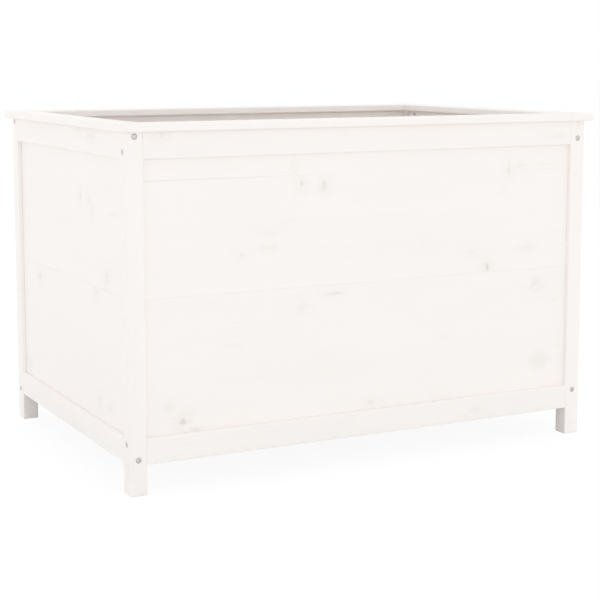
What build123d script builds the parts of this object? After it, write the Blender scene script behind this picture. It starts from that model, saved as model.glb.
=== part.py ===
from build123d import *
import os

# A raised garden bed of painted pine on four short legs, in millimetres.
# Origin on the ground under the middle of the bed: +X to the right, +Y to the back, +Z up.
# The corners are laid out like a pinwheel: turned by a quarter about Z, one corner is the next.

# Overall size, with the flat rim boards on top
length = 1195.0
depth = 820.0
height = 780.0

# Rim boards, mitred at the corners
rim_width = 60.0
rim_thickness = 18.0
rim_overhang = 15.0
rim_round = 4.0

# Corner posts, which are also the legs
post_size = 38.0
post_round = 2.0
post_foot_chamfer = 1.5
leg_height = 65.0

# Rails between the posts
rail_height = 56.0
rail_thickness = 26.0
rail_setback = 1.0
rail_round = 2.0

# Field boards, housed in grooves of the rails and posts
board_thickness = 12.0
board_setback = 10.0
board_end_gap = 0.5
board_edge_gap = 0.3
rail_groove = 5.0
post_groove = 8.0
groove_play = 0.2
tongue_thickness = 4.0
tongue_height = 5.0
seam_chamfer = 0.6

# Connector bolts and barrel nuts: two heights per rail, so that bolts cross without meeting
bolt_low_offset = 12.0
bolt_spacing = 32.0
bolt_radius = 2.95
bolt_hole_radius = 3.25
bolt_length = 75.0
bolt_tip = 1.0
head_radius = 5.75
head_height = 3.2
head_rim = 0.8
head_recess_radius = 6.25
head_recess_depth = 2.2
socket_radius = 2.3
socket_depth = 2.0
nut_radius = 5.0
nut_length = 14.0
nut_bore_radius = 3.0
nut_inset = 30.0
nut_hole_radius = 5.1
nut_slot_width = 1.2
nut_slot_depth = 1.0
bolt_bore_depth = 41.0

# Locating dowels, one beside each bolt
dowel_radius = 4.0
dowel_in_post = 14.0
dowel_in_rail = 20.0
dowel_play = 0.05
dowel_end_gap = 0.5
dowel_chamfer = 0.8

# Countersunk wood screws
screw_radius = 2.0
screw_head_radius = 4.0
screw_head_taper = 2.2
screw_point = 5.0
screw_clear_radius = 2.1
screw_pilot_radius = 2.05
screw_sink = 0.2
recess_span = 4.4
recess_width = 1.1
recess_depth = 1.6
pilot_spare = 0.5
rim_screw_length = 40.0
slat_screw_length = 35.0
ledger_screw_length = 40.0
rim_screw_edge = 12.0
rim_screw_end = 28.0

# Slatted floor on two ledgers and a middle joist
ledger_thickness = 22.0
ledger_height = 25.0
ledger_bottom = 75.0
ledger_end_gap = 2.0
joist_size = 38.0
joist_round = 1.5
joist_tenon_length = 12.0
joist_tenon_width = 26.0
joist_tenon_height = 22.0
joist_tenon_bottom = 74.0
slat_count = 12
slat_width = 82.0
slat_thickness = 18.0
slat_end_gap = 3.0
slat_post_gap = 1.5
slat_round = 1.5

# Worked out from the sizes above
frame_length = length - 2 * rim_overhang
frame_depth = depth - 2 * rim_overhang
post_height = height - rim_thickness
long_span = frame_length - 2 * post_size
short_span = frame_depth - 2 * post_size
half_post = post_size / 2
bottom_rail_z = leg_height
top_rail_z = post_height - rail_height
field_bottom = bottom_rail_z + rail_height
field_top = top_rail_z
seam_z = (field_bottom + field_top) / 2
rail_inside = rail_setback + rail_thickness
board_inside = board_setback + board_thickness
nut_hole_depth = rail_inside - half_post + nut_length / 2
top_bolt_high = post_height - 9.0
top_bolt_low = top_bolt_high - bolt_spacing
bottom_bolt_low = bottom_rail_z + bolt_low_offset
bottom_bolt_high = bottom_bolt_low + bolt_spacing
top_dowel_z = (top_bolt_high + top_bolt_low) / 2
bottom_dowel_z = (bottom_bolt_high + bottom_bolt_low) / 2
floor_z = ledger_bottom + ledger_height
slat_span = frame_length - 2 * post_size - 2 * slat_post_gap
slat_pitch = (slat_span - slat_width) / (slat_count - 1)
slat_length = frame_depth - 2 * rail_inside - 2 * slat_end_gap
slat_centres = [(i - (slat_count - 1) / 2) * slat_pitch for i in range(slat_count)]
ledger_screw_x = [i * 2 * slat_pitch for i in range(-2, 3)]
ledger_screw_z = ledger_bottom + ledger_height / 2
ledger_middle = rail_inside + ledger_thickness / 2

# The four sides in quarter turns, and the corner at the start of each side
sides = ["front", "right", "back", "left"]
corners = ["front_left", "front_right", "back_right", "back_left"]
reaches = [frame_depth / 2, frame_length / 2, frame_depth / 2, frame_length / 2]
spans = [long_span, short_span, long_span, short_span]
rim_rail_screws = [[-270, 0, 270], [-130, 130], [-270, 0, 270], [-130, 130]]
corner_x = frame_length / 2 - half_post
corner_y = frame_depth / 2 - half_post
corner_places = [
    Location((-corner_x, -corner_y, 0), (0, 0, 0)),
    Location((corner_x, -corner_y, 0), (0, 0, 90)),
    Location((corner_x, corner_y, 0), (0, 0, 180)),
    Location((-corner_x, corner_y, 0), (0, 0, 270)),
]

os.makedirs("parts", exist_ok=True)


def keep(piece, name, place=Location()):
    """Set a piece in its place, label it and write its file."""
    with BuildPart() as placed:
        with Locations(place):
            add(piece)
    placed.part.label = name
    export_step(placed.part, f"parts/{name}.step")
    return placed.part


def side_turn(side):
    """The quarter turn that carries the front side to another side."""
    return Location((0, 0, 0), (0, 0, 90 * side))


def bore(position, direction, radius, deep):
    """A round hole from a point on a face, going the way of direction."""
    with Locations(Plane(origin=position, z_dir=direction).location):
        Cylinder(radius, deep, align=(Align.CENTER, Align.CENTER, Align.MIN), mode=Mode.SUBTRACT)


def block(low, high, mode=Mode.ADD):
    """A square block between two corners."""
    size = [b - a for a, b in zip(low, high)]
    middle = [(a + b) / 2 for a, b in zip(low, high)]
    with Locations(tuple(middle)):
        Box(*size, mode=mode)


# Corner post: the front left one, about its own middle line


def make_post():
    groove_low = board_setback - half_post - groove_play
    groove_high = board_inside - half_post + groove_play
    groove_floor = half_post - post_groove
    groove_z = (field_bottom - rail_groove, field_top + rail_groove)
    with BuildPart() as post:
        block((-half_post, -half_post, 0), (half_post, half_post, post_height))
        fillet(post.edges().filter_by(Axis.Z), post_round)
        chamfer(post.faces().sort_by(Axis.Z)[0].edges(), post_foot_chamfer)
        block((groove_floor, groove_low, groove_z[0]), (half_post, groove_high, groove_z[1]), Mode.SUBTRACT)
        block((groove_low, groove_floor, groove_z[0]), (groove_high, half_post, groove_z[1]), Mode.SUBTRACT)
        for z in (top_bolt_high, bottom_bolt_low):
            bore((0, -half_post, z), (0, 1, 0), bolt_hole_radius, post_size)
            bore((0, -half_post, z), (0, 1, 0), head_recess_radius, head_recess_depth)
        for z in (top_bolt_low, bottom_bolt_high):
            bore((-half_post, 0, z), (1, 0, 0), bolt_hole_radius, post_size)
            bore((-half_post, 0, z), (1, 0, 0), head_recess_radius, head_recess_depth)
        for z in (top_dowel_z, bottom_dowel_z):
            dowel_hole = dowel_in_post + dowel_end_gap
            bore((half_post, 0, z), (-1, 0, 0), dowel_radius + dowel_play, dowel_hole)
            bore((0, half_post, z), (0, -1, 0), dowel_radius + dowel_play, dowel_hole)
        pilot_depth = rim_screw_length - rim_thickness + pilot_spare
        across = rim_screw_end - half_post
        along = rim_screw_edge - half_post
        for x, y in ((across, along), (along, across)):
            bore((x, y, post_height), (0, 0, -1), screw_pilot_radius, pilot_depth)
    return post.part


front_left_post = make_post()
for corner, place in zip(corners, corner_places):
    keep(front_left_post, f"{corner}_post", place)


# Rails: drawn at the front, with the outer face towards -Y, then turned to their side


def make_rail(side, bottom_z, left_bolt_z, right_bolt_z, dowel_z, groove_up):
    reach = reaches[side]
    half = spans[side] / 2
    outer = -reach + rail_setback
    inner = -reach + rail_inside
    centre = -reach + half_post
    groove_front = -reach + board_setback - groove_play
    groove_back = -reach + board_inside + groove_play
    top_z = bottom_z + rail_height
    with BuildPart() as rail:
        block((-half, outer, bottom_z), (half, inner, top_z))
        fillet(rail.edges().filter_by(Axis.X), rail_round)
        groove_z = (top_z - rail_groove, top_z) if groove_up else (bottom_z, bottom_z + rail_groove)
        block((-half, groove_front, groove_z[0]), (half, groove_back, groove_z[1]), Mode.SUBTRACT)
        for end, z in ((-1, left_bolt_z), (1, right_bolt_z)):
            bore((end * half, centre, z), (-end, 0, 0), bolt_hole_radius, bolt_bore_depth)
            bore((end * (half - nut_inset), inner, z), (0, -1, 0), nut_hole_radius, nut_hole_depth)
            dowel_hole = dowel_in_rail + dowel_end_gap
            bore((end * half, centre, dowel_z), (-end, 0, 0), dowel_radius + dowel_play, dowel_hole)
        if groove_up and side % 2 == 0:
            pilot_depth = ledger_screw_length - ledger_thickness + pilot_spare
            for x in ledger_screw_x:
                bore((x, inner, ledger_screw_z), (0, -1, 0), screw_pilot_radius, pilot_depth)
        if groove_up and side % 2 == 1:
            half_mortise = joist_tenon_width / 2 + groove_play
            block(
                (-half_mortise, inner - joist_tenon_length - dowel_end_gap, joist_tenon_bottom - groove_play),
                (half_mortise, inner, joist_tenon_bottom + joist_tenon_height + groove_play),
                Mode.SUBTRACT,
            )
        if not groove_up:
            pilot_depth = rim_screw_length - rim_thickness + pilot_spare
            for x in rim_rail_screws[side]:
                bore((x, -reach + rim_screw_edge, top_z), (0, 0, -1), screw_pilot_radius, pilot_depth)
    return rail.part


for side, name in enumerate(sides):
    top_rail = make_rail(side, top_rail_z, top_bolt_low, top_bolt_high, top_dowel_z, False)
    keep(top_rail, f"{name}_top_rail", side_turn(side))
    bottom_rail = make_rail(side, bottom_rail_z, bottom_bolt_high, bottom_bolt_low, bottom_dowel_z, True)
    keep(bottom_rail, f"{name}_bottom_rail", side_turn(side))


# Field boards: the lower one carries a tongue, and the upper one drops over it and sheds the rain


def make_lower_board(side):
    half = spans[side] / 2 + post_groove - board_end_gap
    outer = -reaches[side] + board_setback
    inner = -reaches[side] + board_inside
    middle = (outer + inner) / 2
    with BuildPart() as board:
        block((-half, outer, field_bottom - rail_groove + board_edge_gap), (half, inner, seam_z))
        chamfer(board.faces().sort_by(Axis.Z)[-1].edges().filter_by(Axis.X), seam_chamfer)
        block(
            (-half, middle - tongue_thickness / 2, seam_z - seam_chamfer),
            (half, middle + tongue_thickness / 2, seam_z + tongue_height),
        )
    return board.part


def make_upper_board(side):
    half = spans[side] / 2 + post_groove - board_end_gap
    outer = -reaches[side] + board_setback
    inner = -reaches[side] + board_inside
    middle = (outer + inner) / 2
    half_slot = tongue_thickness / 2 + groove_play
    low_z = seam_z
    with BuildPart() as board:
        block((-half, outer, low_z), (half, inner, field_top + rail_groove - board_edge_gap))
        chamfer(board.faces().sort_by(Axis.Z)[0].edges().filter_by(Axis.X), seam_chamfer)
        block(
            (-half, middle - half_slot, low_z),
            (half, middle + half_slot, low_z + tongue_height + board_edge_gap),
            Mode.SUBTRACT,
        )
    return board.part


for side, name in enumerate(sides):
    keep(make_lower_board(side), f"{name}_lower_board", side_turn(side))
    keep(make_upper_board(side), f"{name}_upper_board", side_turn(side))


# Rim boards: flat on the posts and top rails, with the long arrises rounded and the ends mitred


def make_rim_board(side):
    corner = spans[side] / 2 + post_size
    outer_x = corner + rim_overhang
    inner_x = outer_x - rim_width
    outer_y = -reaches[side] - rim_overhang
    inner_y = outer_y + rim_width
    with BuildPart() as board:
        with BuildSketch(Plane.XY.offset(post_height)):
            with BuildLine():
                Polyline(
                    (-outer_x, outer_y),
                    (outer_x, outer_y),
                    (inner_x, inner_y),
                    (-inner_x, inner_y),
                    close=True,
                )
            make_face()
        extrude(amount=rim_thickness)
        fillet(board.edges().filter_by(Axis.X), rim_round)
        corner_screws = [-corner + rim_screw_end, corner - rim_screw_end]
        for x in corner_screws + rim_rail_screws[side]:
            with Locations((x, -reaches[side] + rim_screw_edge, height)):
                CounterSinkHole(screw_clear_radius, screw_head_radius + screw_sink)
    return board.part


for side, name in enumerate(sides):
    keep(make_rim_board(side), f"{name}_rim_board", side_turn(side))


# Floor ledgers, screwed to the inner faces of the front and back bottom rails


def make_ledger(side):
    half = long_span / 2 - ledger_end_gap
    outer = -reaches[side] + rail_inside
    inner = outer + ledger_thickness
    pilot_depth = slat_screw_length - slat_thickness + pilot_spare
    with BuildPart() as ledger:
        block((-half, outer, ledger_bottom), (half, inner, floor_z))
        chamfer(ledger.edges().filter_by(Axis.X).group_by(Axis.Y)[-1], slat_round)
        for x in ledger_screw_x:
            with Locations(Plane(origin=(x, inner, ledger_screw_z), z_dir=(0, 1, 0)).location):
                CounterSinkHole(screw_clear_radius, screw_head_radius + screw_sink)
        for x in slat_centres:
            bore((x, outer + ledger_thickness / 2, floor_z), (0, 0, -1), screw_pilot_radius, pilot_depth)
    return ledger.part


keep(make_ledger(0), "front_ledger", side_turn(0))
keep(make_ledger(2), "back_ledger", side_turn(2))


# Middle joist, with a stub tenon at each end in the side bottom rails

half_joist = frame_length / 2 - rail_inside
half_tenon = half_joist + joist_tenon_length
with BuildPart() as floor_joist:
    block((-half_joist, -joist_size / 2, floor_z - joist_size), (half_joist, joist_size / 2, floor_z))
    fillet(floor_joist.edges().filter_by(Axis.X), joist_round)
    block(
        (-half_tenon, -joist_tenon_width / 2, joist_tenon_bottom),
        (half_tenon, joist_tenon_width / 2, joist_tenon_bottom + joist_tenon_height),
    )
    for x in slat_centres:
        joist_pilot = slat_screw_length - slat_thickness + pilot_spare
        bore((x, 0, floor_z), (0, 0, -1), screw_pilot_radius, joist_pilot)
keep(floor_joist.part, "floor_joist")


# Floor slats, with gaps between them for drainage

slat_screw_y = [-frame_depth / 2 + ledger_middle, 0, frame_depth / 2 - ledger_middle]
for number, x in enumerate(slat_centres, start=1):
    with BuildPart() as slat:
        block(
            (x - slat_width / 2, -slat_length / 2, floor_z),
            (x + slat_width / 2, slat_length / 2, floor_z + slat_thickness),
        )
        fillet(slat.edges().filter_by(Axis.Y).group_by(Axis.Z)[-1], slat_round)
        for y in slat_screw_y:
            with Locations((x, y, floor_z + slat_thickness)):
                CounterSinkHole(screw_clear_radius, screw_head_radius + screw_sink)
    keep(slat.part, f"floor_slat_{number:02d}")


# Connector bolt: its head's underside is at the origin, and the shank goes up

with BuildPart() as bolt:
    with BuildSketch(Plane.XZ):
        with BuildLine():
            crown = (0, -head_height)
            edge = (head_radius, -head_rim)
            ThreePointArc(crown, (head_radius * 0.62, -head_height * 0.86), edge)
            Polyline(
                edge,
                (head_radius, 0),
                (bolt_radius, 0),
                (bolt_radius, bolt_length - bolt_tip),
                (bolt_radius - bolt_tip, bolt_length),
                (0, bolt_length),
                crown,
            )
        make_face()
    revolve(axis=Axis.Z)
    with BuildSketch(Plane.XY.offset(-head_height)):
        RegularPolygon(socket_radius, 6)
    extrude(amount=socket_depth, mode=Mode.SUBTRACT)

bolt_places = []
nut_places = []
head_seat = half_post - head_recess_depth
nut_offset = half_post + nut_inset
for place in corner_places:
    for z in (top_bolt_high, bottom_bolt_low):
        bolt_places.append(place * Plane(origin=(0, -head_seat, z), z_dir=(0, 1, 0)).location)
        nut_places.append(place * Plane(origin=(0, nut_offset, z), x_dir=(0, 1, 0), z_dir=(1, 0, 0)).location)
    for z in (top_bolt_low, bottom_bolt_high):
        bolt_places.append(place * Plane(origin=(-head_seat, 0, z), z_dir=(1, 0, 0)).location)
        nut_places.append(place * Plane(origin=(nut_offset, 0, z), x_dir=(1, 0, 0), z_dir=(0, 1, 0)).location)

with BuildPart() as connector_bolts:
    with Locations(*bolt_places):
        add(bolt.part)
keep(connector_bolts.part, "connector_bolts")


# Barrel nut: a short cross pin with a threaded bore and a slot that shows on the inside of the rail

with BuildPart() as nut:
    Cylinder(nut_radius, nut_length)
    bore((-nut_radius, 0, 0), (1, 0, 0), nut_bore_radius, 2 * nut_radius)
    block(
        (-nut_radius, -nut_slot_width / 2, nut_length / 2 - nut_slot_depth),
        (nut_radius, nut_slot_width / 2, nut_length / 2),
        Mode.SUBTRACT,
    )

with BuildPart() as barrel_nuts:
    with Locations(*nut_places):
        add(nut.part)
keep(barrel_nuts.part, "barrel_nuts")


# Locating dowels, hidden between the rails and posts

with BuildPart() as dowel:
    Cylinder(dowel_radius, dowel_in_post + dowel_in_rail, align=(Align.CENTER, Align.CENTER, Align.MIN))
    chamfer(dowel.edges(), dowel_chamfer)

dowel_places = []
dowel_start = half_post - dowel_in_post
for place in corner_places:
    for z in (top_dowel_z, bottom_dowel_z):
        dowel_places.append(place * Plane(origin=(dowel_start, 0, z), z_dir=(1, 0, 0)).location)
        dowel_places.append(place * Plane(origin=(0, dowel_start, z), z_dir=(0, 1, 0)).location)

with BuildPart() as rail_dowels:
    with Locations(*dowel_places):
        add(dowel.part)
keep(rail_dowels.part, "rail_dowels")


# Wood screws: the top of the head is at the origin, and the point is down


def make_screw(screw_length):
    half_span = recess_span / 2
    half_width = recess_width / 2
    with BuildPart() as screw:
        with BuildSketch(Plane.XZ):
            with BuildLine():
                Polyline(
                    (0, 0),
                    (screw_head_radius, 0),
                    (screw_radius, -screw_head_taper),
                    (screw_radius, -screw_length + screw_point),
                    (0, -screw_length),
                    close=True,
                )
            make_face()
        revolve(axis=Axis.Z)
        block((-half_span, -half_width, -recess_depth), (half_span, half_width, 0), Mode.SUBTRACT)
        block((-half_width, -half_span, -recess_depth), (half_width, half_span, 0), Mode.SUBTRACT)
    return screw.part


rim_screw_places = []
for side in range(4):
    corner = spans[side] / 2 + post_size
    for x in [-corner + rim_screw_end, corner - rim_screw_end] + rim_rail_screws[side]:
        spot = Location((x, -reaches[side] + rim_screw_edge, height - screw_sink))
        rim_screw_places.append(side_turn(side) * spot)

with BuildPart() as rim_screws:
    with Locations(*rim_screw_places):
        add(make_screw(rim_screw_length))
keep(rim_screws.part, "rim_screws")

slat_top = floor_z + slat_thickness - screw_sink
with BuildPart() as slat_screws:
    with Locations(*[(x, y, slat_top) for x in slat_centres for y in slat_screw_y]):
        add(make_screw(slat_screw_length))
keep(slat_screws.part, "slat_screws")

ledger_screw_places = []
for side in (0, 2):
    face = -reaches[side] + rail_inside + ledger_thickness - screw_sink
    for x in ledger_screw_x:
        spot = Plane(origin=(x, face, ledger_screw_z), z_dir=(0, 1, 0)).location
        ledger_screw_places.append(side_turn(side) * spot)

with BuildPart() as ledger_screws:
    with Locations(*ledger_screw_places):
        add(make_screw(ledger_screw_length))
keep(ledger_screws.part, "ledger_screws")
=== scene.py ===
# %% [markdown]
# A raised garden bed in white painted pine
#
# The bed stands on four square posts. Rails run between the posts, wide field boards sit in
# grooves of the rails, and a flat rim is screwed on top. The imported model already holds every
# piece at its real size, so this lesson only dresses it. Pieces whose shape is right keep
# their mesh and get a material. The field boards, the floor slats and the fasteners are made
# anew with Geometry Nodes, because they repeat and because a glued board follows a rule.

# %% Load the frame
import math

import bmesh
import bpy
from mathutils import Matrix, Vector


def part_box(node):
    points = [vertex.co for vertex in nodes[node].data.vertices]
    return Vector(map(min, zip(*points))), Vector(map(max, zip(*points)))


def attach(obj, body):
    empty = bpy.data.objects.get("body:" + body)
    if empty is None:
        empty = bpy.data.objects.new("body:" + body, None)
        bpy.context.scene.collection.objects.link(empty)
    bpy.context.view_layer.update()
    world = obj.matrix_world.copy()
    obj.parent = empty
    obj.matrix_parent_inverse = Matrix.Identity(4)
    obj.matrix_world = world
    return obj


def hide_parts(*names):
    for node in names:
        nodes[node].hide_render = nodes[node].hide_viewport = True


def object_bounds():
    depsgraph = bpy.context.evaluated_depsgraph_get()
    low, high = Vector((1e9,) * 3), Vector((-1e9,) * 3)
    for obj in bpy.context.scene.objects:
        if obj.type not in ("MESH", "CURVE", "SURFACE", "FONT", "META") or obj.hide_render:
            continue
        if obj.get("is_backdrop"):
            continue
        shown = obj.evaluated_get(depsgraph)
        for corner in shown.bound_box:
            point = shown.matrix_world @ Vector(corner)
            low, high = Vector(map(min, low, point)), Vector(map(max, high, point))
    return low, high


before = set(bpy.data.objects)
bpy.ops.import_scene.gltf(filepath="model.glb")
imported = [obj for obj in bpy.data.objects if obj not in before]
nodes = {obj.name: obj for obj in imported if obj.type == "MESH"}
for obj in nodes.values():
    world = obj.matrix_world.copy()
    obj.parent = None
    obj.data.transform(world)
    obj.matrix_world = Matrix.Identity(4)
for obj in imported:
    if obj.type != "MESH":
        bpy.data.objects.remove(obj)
cad_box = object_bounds()
print("nodes in the frame:", len(nodes))
print("size in metres:", [round(high - low, 4) for low, high in zip(*cad_box)])

# %% [markdown]
# The sizes that the new pieces need are read from the frame, not typed again. A node's box
# gives its lowest and highest corner, so the thickness of a board or the height of a rail
# can be measured, and a later change of the model is followed without an edit here.

# %% Measure the frame
SIDES = ["front", "right", "back", "left"]
BODY = "root"
MM = 0.001


def node_size(name):
    low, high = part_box(name)
    return high - low


def node_centre(name):
    low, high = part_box(name)
    return (low + high) / 2


board_thickness = node_size("front_upper_board").y
print("board thickness:", round(board_thickness / MM, 1), "mm")

# %% [markdown]
# Node trees are quick to click together but long to write. This small helper keeps the
# script short: it adds a node, fills its inputs with numbers or links, and hands back the
# output socket, so that a formula can be written from the inside out. It works the same way
# in a shader tree and in a Geometry Nodes tree.


# %% A helper that wires nodes
class Wiring:
    def __init__(self, tree):
        self.tree = tree

    def add(self, kind, inputs=(), out=0, **settings):
        """Adds a node, sets it up, feeds its inputs and returns one of its outputs."""
        node = self.tree.nodes.new(kind)
        for key, value in settings.items():
            setattr(node, key, value)
        pairs = inputs.items() if isinstance(inputs, dict) else enumerate(inputs)
        for key, value in pairs:
            self.feed(node.inputs[key], value)
        return node.outputs if out is None else node.outputs[out]

    def feed(self, socket, value):
        if isinstance(value, bpy.types.NodeSocket):
            self.tree.links.new(value, socket)
        else:
            socket.default_value = value

    def geo(self, kind, inputs=(), out=0, **settings):
        """Adds a Geometry Nodes node, named without its prefix."""
        return self.add("GeometryNode" + kind, inputs, out, **settings)

    def math(self, operation, *values):
        return self.add("ShaderNodeMath", values, operation=operation)

    def minus(self, a, b):
        return self.math("SUBTRACT", a, b)

    def over(self, a, b):
        return self.math("DIVIDE", a, b)

    def times(self, *values):
        """The product of several numbers or sockets."""
        product = values[0]
        for value in values[1:]:
            product = self.math("MULTIPLY", product, value)
        return product

    def plus(self, *values):
        """The sum of several numbers or sockets."""
        total = values[0]
        for value in values[1:]:
            total = self.math("ADD", total, value)
        return total

    def vector(self, operation, *values):
        out = 1 if operation == "LENGTH" else 0
        return self.add("ShaderNodeVectorMath", values, out=out, operation=operation)

    def scale(self, value, factor):
        inputs = {"Vector": value, "Scale": factor}
        return self.add("ShaderNodeVectorMath", inputs, operation="SCALE")

    def split(self, value):
        return self.add("ShaderNodeSeparateXYZ", [value], out=None)[:3]

    def join(self, x=0.0, y=0.0, z=0.0):
        return self.add("ShaderNodeCombineXYZ", [x, y, z])

    def position(self):
        """The x, y and z of each point of a geometry."""
        return self.split(self.geo("InputPosition"))

    def together(self, *parts):
        """Joins several geometries into one."""
        node = self.tree.nodes.new("GeometryNodeJoinGeometry")
        for part in parts:
            self.feed(node.inputs[0], part)
        return node.outputs[0]

    def stretch(self, value, x, y, z):
        """Scales the three axes of a vector apart from each other."""
        return self.vector("MULTIPLY", value, (x, y, z))

    def blend(self, factor, a, b, kind="FLOAT"):
        """Goes from a to b as factor goes from 0 to 1."""
        node = self.tree.nodes.new("ShaderNodeMix")
        node.data_type = kind
        slots = {"FLOAT": (0, 2, 3, 0), "VECTOR": (0, 4, 5, 1), "RGBA": (0, 6, 7, 2)}[kind]
        for index, value in zip(slots, (factor, a, b)):
            self.feed(node.inputs[index], value)
        return node.outputs[slots[3]]

    def ramp(self, value, low, high, start=0.0, end=1.0):
        """Goes smoothly from start to end while value goes from low to high."""
        inputs = {0: value, 1: low, 2: high, 3: start, 4: end}
        return self.add("ShaderNodeMapRange", inputs, interpolation_type="SMOOTHSTEP")

    def noise(self, vector, scale, detail=2.0, roughness=0.5):
        inputs = {"Vector": vector, "Scale": scale, "Detail": detail, "Roughness": roughness}
        return self.add("ShaderNodeTexNoise", inputs)

    def group(self, group, **values):
        """Places a node group, feeds its named inputs and returns its outputs."""
        kind = group.tree.bl_idname.replace("NodeTree", "NodeGroup")
        node = self.tree.nodes.new(kind)
        node.node_tree = group.tree
        for key, value in values.items():
            self.feed(node.inputs[key.replace("_", " ")], value)
        return node.outputs


SOCKETS = {
    "float": "NodeSocketFloat",
    "int": "NodeSocketInt",
    "vector": "NodeSocketVector",
    "geometry": "NodeSocketGeometry",
    "material": "NodeSocketMaterial",
    "object": "NodeSocketObject",
}


def new_group(kind, name, inputs, outputs):
    """Makes a node group and returns its wiring, inputs and outputs.

    Each input is given as the word for its kind, or as the number that it starts with.
    """
    tree = bpy.data.node_groups.new(name, kind + "NodeTree")
    for label, what in inputs.items():
        word = what if isinstance(what, str) else type(what).__name__
        socket = tree.interface.new_socket(label, in_out="INPUT", socket_type=SOCKETS[word])
        if word != what:
            socket.default_value = what
    for label, word in outputs.items():
        tree.interface.new_socket(label, in_out="OUTPUT", socket_type=SOCKETS[word])
    given = tree.nodes.new("NodeGroupInput").outputs
    result = tree.nodes.new("NodeGroupOutput").inputs
    return Wiring(tree), given, result


print("socket kinds:", sorted(SOCKETS))

# %% [markdown]
# Pine is known by its knots. A knot is where a branch grew, so the rings round it bend
# aside, and white paint lets its resin show as a pale brown stain. Four facts describe a
# knot: how far a point is from its middle, its radius across the grain, how much longer it
# is along the grain, and how dark it shows. The first group finds them for pieces where any
# knots will do. A Voronoi texture gives each cell one point and one random colour, and the
# colour says whether the cell has a knot, how large it is and how dark.

# %% Shader group: random knots
KNOT_FACTS = {"Offset": "vector", "Size": "float", "Long": "float", "Tone": "float"}
TINY = 0.01 * MM
random_knots, g, out = new_group(
    "Shader",
    "Random Knots",
    {"Grain": "vector", "Spacing": 0.16, "Share": 0.4, "Radius": 0.008},
    KNOT_FACTS,
)
w = random_knots
density = w.over(1.0, g["Spacing"])
thinned = w.join(w.times(density, 0.6), density, w.times(density, 0.7))
cells = w.vector("MULTIPLY", g["Grain"], thinned)
voronoi = w.add("ShaderNodeTexVoronoi", {"Vector": cells, "Scale": 1.0}, out=None)
away = w.vector("DIVIDE", w.vector("SUBTRACT", cells, voronoi["Position"]), thinned)
luck, much, tone = w.split(voronoi["Color"])
present = w.math("LESS_THAN", luck, g["Share"])
w.feed(out["Offset"], away)
w.feed(out["Size"], w.times(g["Radius"], w.plus(w.times(much, 1.1), 0.35), present))
w.feed(out["Long"], w.plus(w.times(tone, tone, 3.0), 0.7))
w.feed(out["Tone"], w.plus(w.times(tone, 0.4), 0.15))
print("random knots:", len(w.tree.nodes), "nodes")

# %% [markdown]
# Some knots on the rails and posts have a place that matters. Their offset is simply the
# grain position minus the knot's place. When a surface has several candidates, this group
# keeps the one that is nearer, counted in knot sizes, so a small far knot never wins.

# %% Shader group: the nearer of two knots
nearer_knot, g, out = new_group(
    "Shader",
    "Nearer Knot",
    {f"{fact} {letter}": kind for letter in "AB" for fact, kind in KNOT_FACTS.items()},
    KNOT_FACTS,
)
w = nearer_knot


def knots_away(letter):
    safe = w.math("MAXIMUM", g[f"Size {letter}"], TINY)
    return w.over(w.vector("LENGTH", g[f"Offset {letter}"]), safe)


pick_b = w.math("LESS_THAN", knots_away("B"), knots_away("A"))
for fact, kind in KNOT_FACTS.items():
    blended = w.blend(pick_b, g[f"{fact} A"], g[f"{fact} B"], kind.upper())
    w.feed(out[fact], blended)
print("nearer knot:", len(w.tree.nodes), "nodes")

# %% [markdown]
# This group draws the wood itself. The rings are stripes across the grain that a slow noise
# makes wander. Near a knot they must part and close again, like water round a stone, and
# the formula of that flow is short: the distance across shrinks by 1.5 / (r * r + 1.5),
# where r is the distance from the knot in knot sizes. All of this fades away before 50 mm,
# because a face only knows its own nearest knot and the next face may know another one.
# The group gives masks and a height only, so the same figure can serve bare wood, thin
# paint and thick paint.

# %% Shader group: pine figure
SMALLEST_KNOT = 0.5 * MM
RAGGED_EDGE = 1.5
PARTING = 1.5
WANDER = 0.11
RING_SHARPNESS = 2.5
STREAKS = 620.0
BARK_AT = 0.85
FADE_FROM, FADE_TO = 12 * MM, 50 * MM
STAIN_FALL = -0.35
RINGS_IN_STAIN = 1.2
pine_figure, g, out = new_group(
    "Shader",
    "Pine Figure",
    {
        "Grain": "vector",
        "Knot Offset": "vector",
        "Knot Size": 0.0,
        "Knot Long": 1.0,
        "Knot Tone": 0.5,
        "Ring Width": 0.008,
    },
    dict.fromkeys(["Rings", "Fibres", "Knot", "Stain", "Height"], "float"),
)
w = pine_figure
along, across, through = w.split(g["Grain"])
knot_along, knot_across, knot_through = w.split(g["Knot Offset"])
size = w.math("MAXIMUM", g["Knot Size"], TINY)
present = w.math("GREATER_THAN", g["Knot Size"], SMALLEST_KNOT)
u = w.over(knot_along, w.times(size, w.math("MAXIMUM", g["Knot Long"], 0.1)))
v = w.over(knot_across, size)
t = w.times(w.over(knot_through, size), 0.5)
ragged = w.noise(w.stretch(g["Grain"], 50.0, 110.0, 90.0), 1.0, 2.0)
wobble = w.times(w.minus(ragged, 0.5), present)
r = w.plus(w.vector("LENGTH", w.join(u, v, t)), w.times(wobble, RAGGED_EDGE))
square = w.times(r, r)
fade = w.ramp(w.vector("LENGTH", g["Knot Offset"]), FADE_FROM, FADE_TO, 1.0, 0.0)
parting = w.times(w.over(PARTING, w.plus(square, PARTING)), fade, present)
bent = w.minus(across, w.times(knot_across, parting))
slow = w.stretch(g["Grain"], 1.3, 6.0, 1.0)
drift = w.times(w.noise(slow, 1.0, 1.5), WANDER)
phase = w.math("FRACT", w.over(w.plus(bent, drift), g["Ring Width"]))
rings = w.times(w.math("POWER", phase, RING_SHARPNESS), w.ramp(phase, 0.9, 1.0, 1.0, 0.0))
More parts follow.
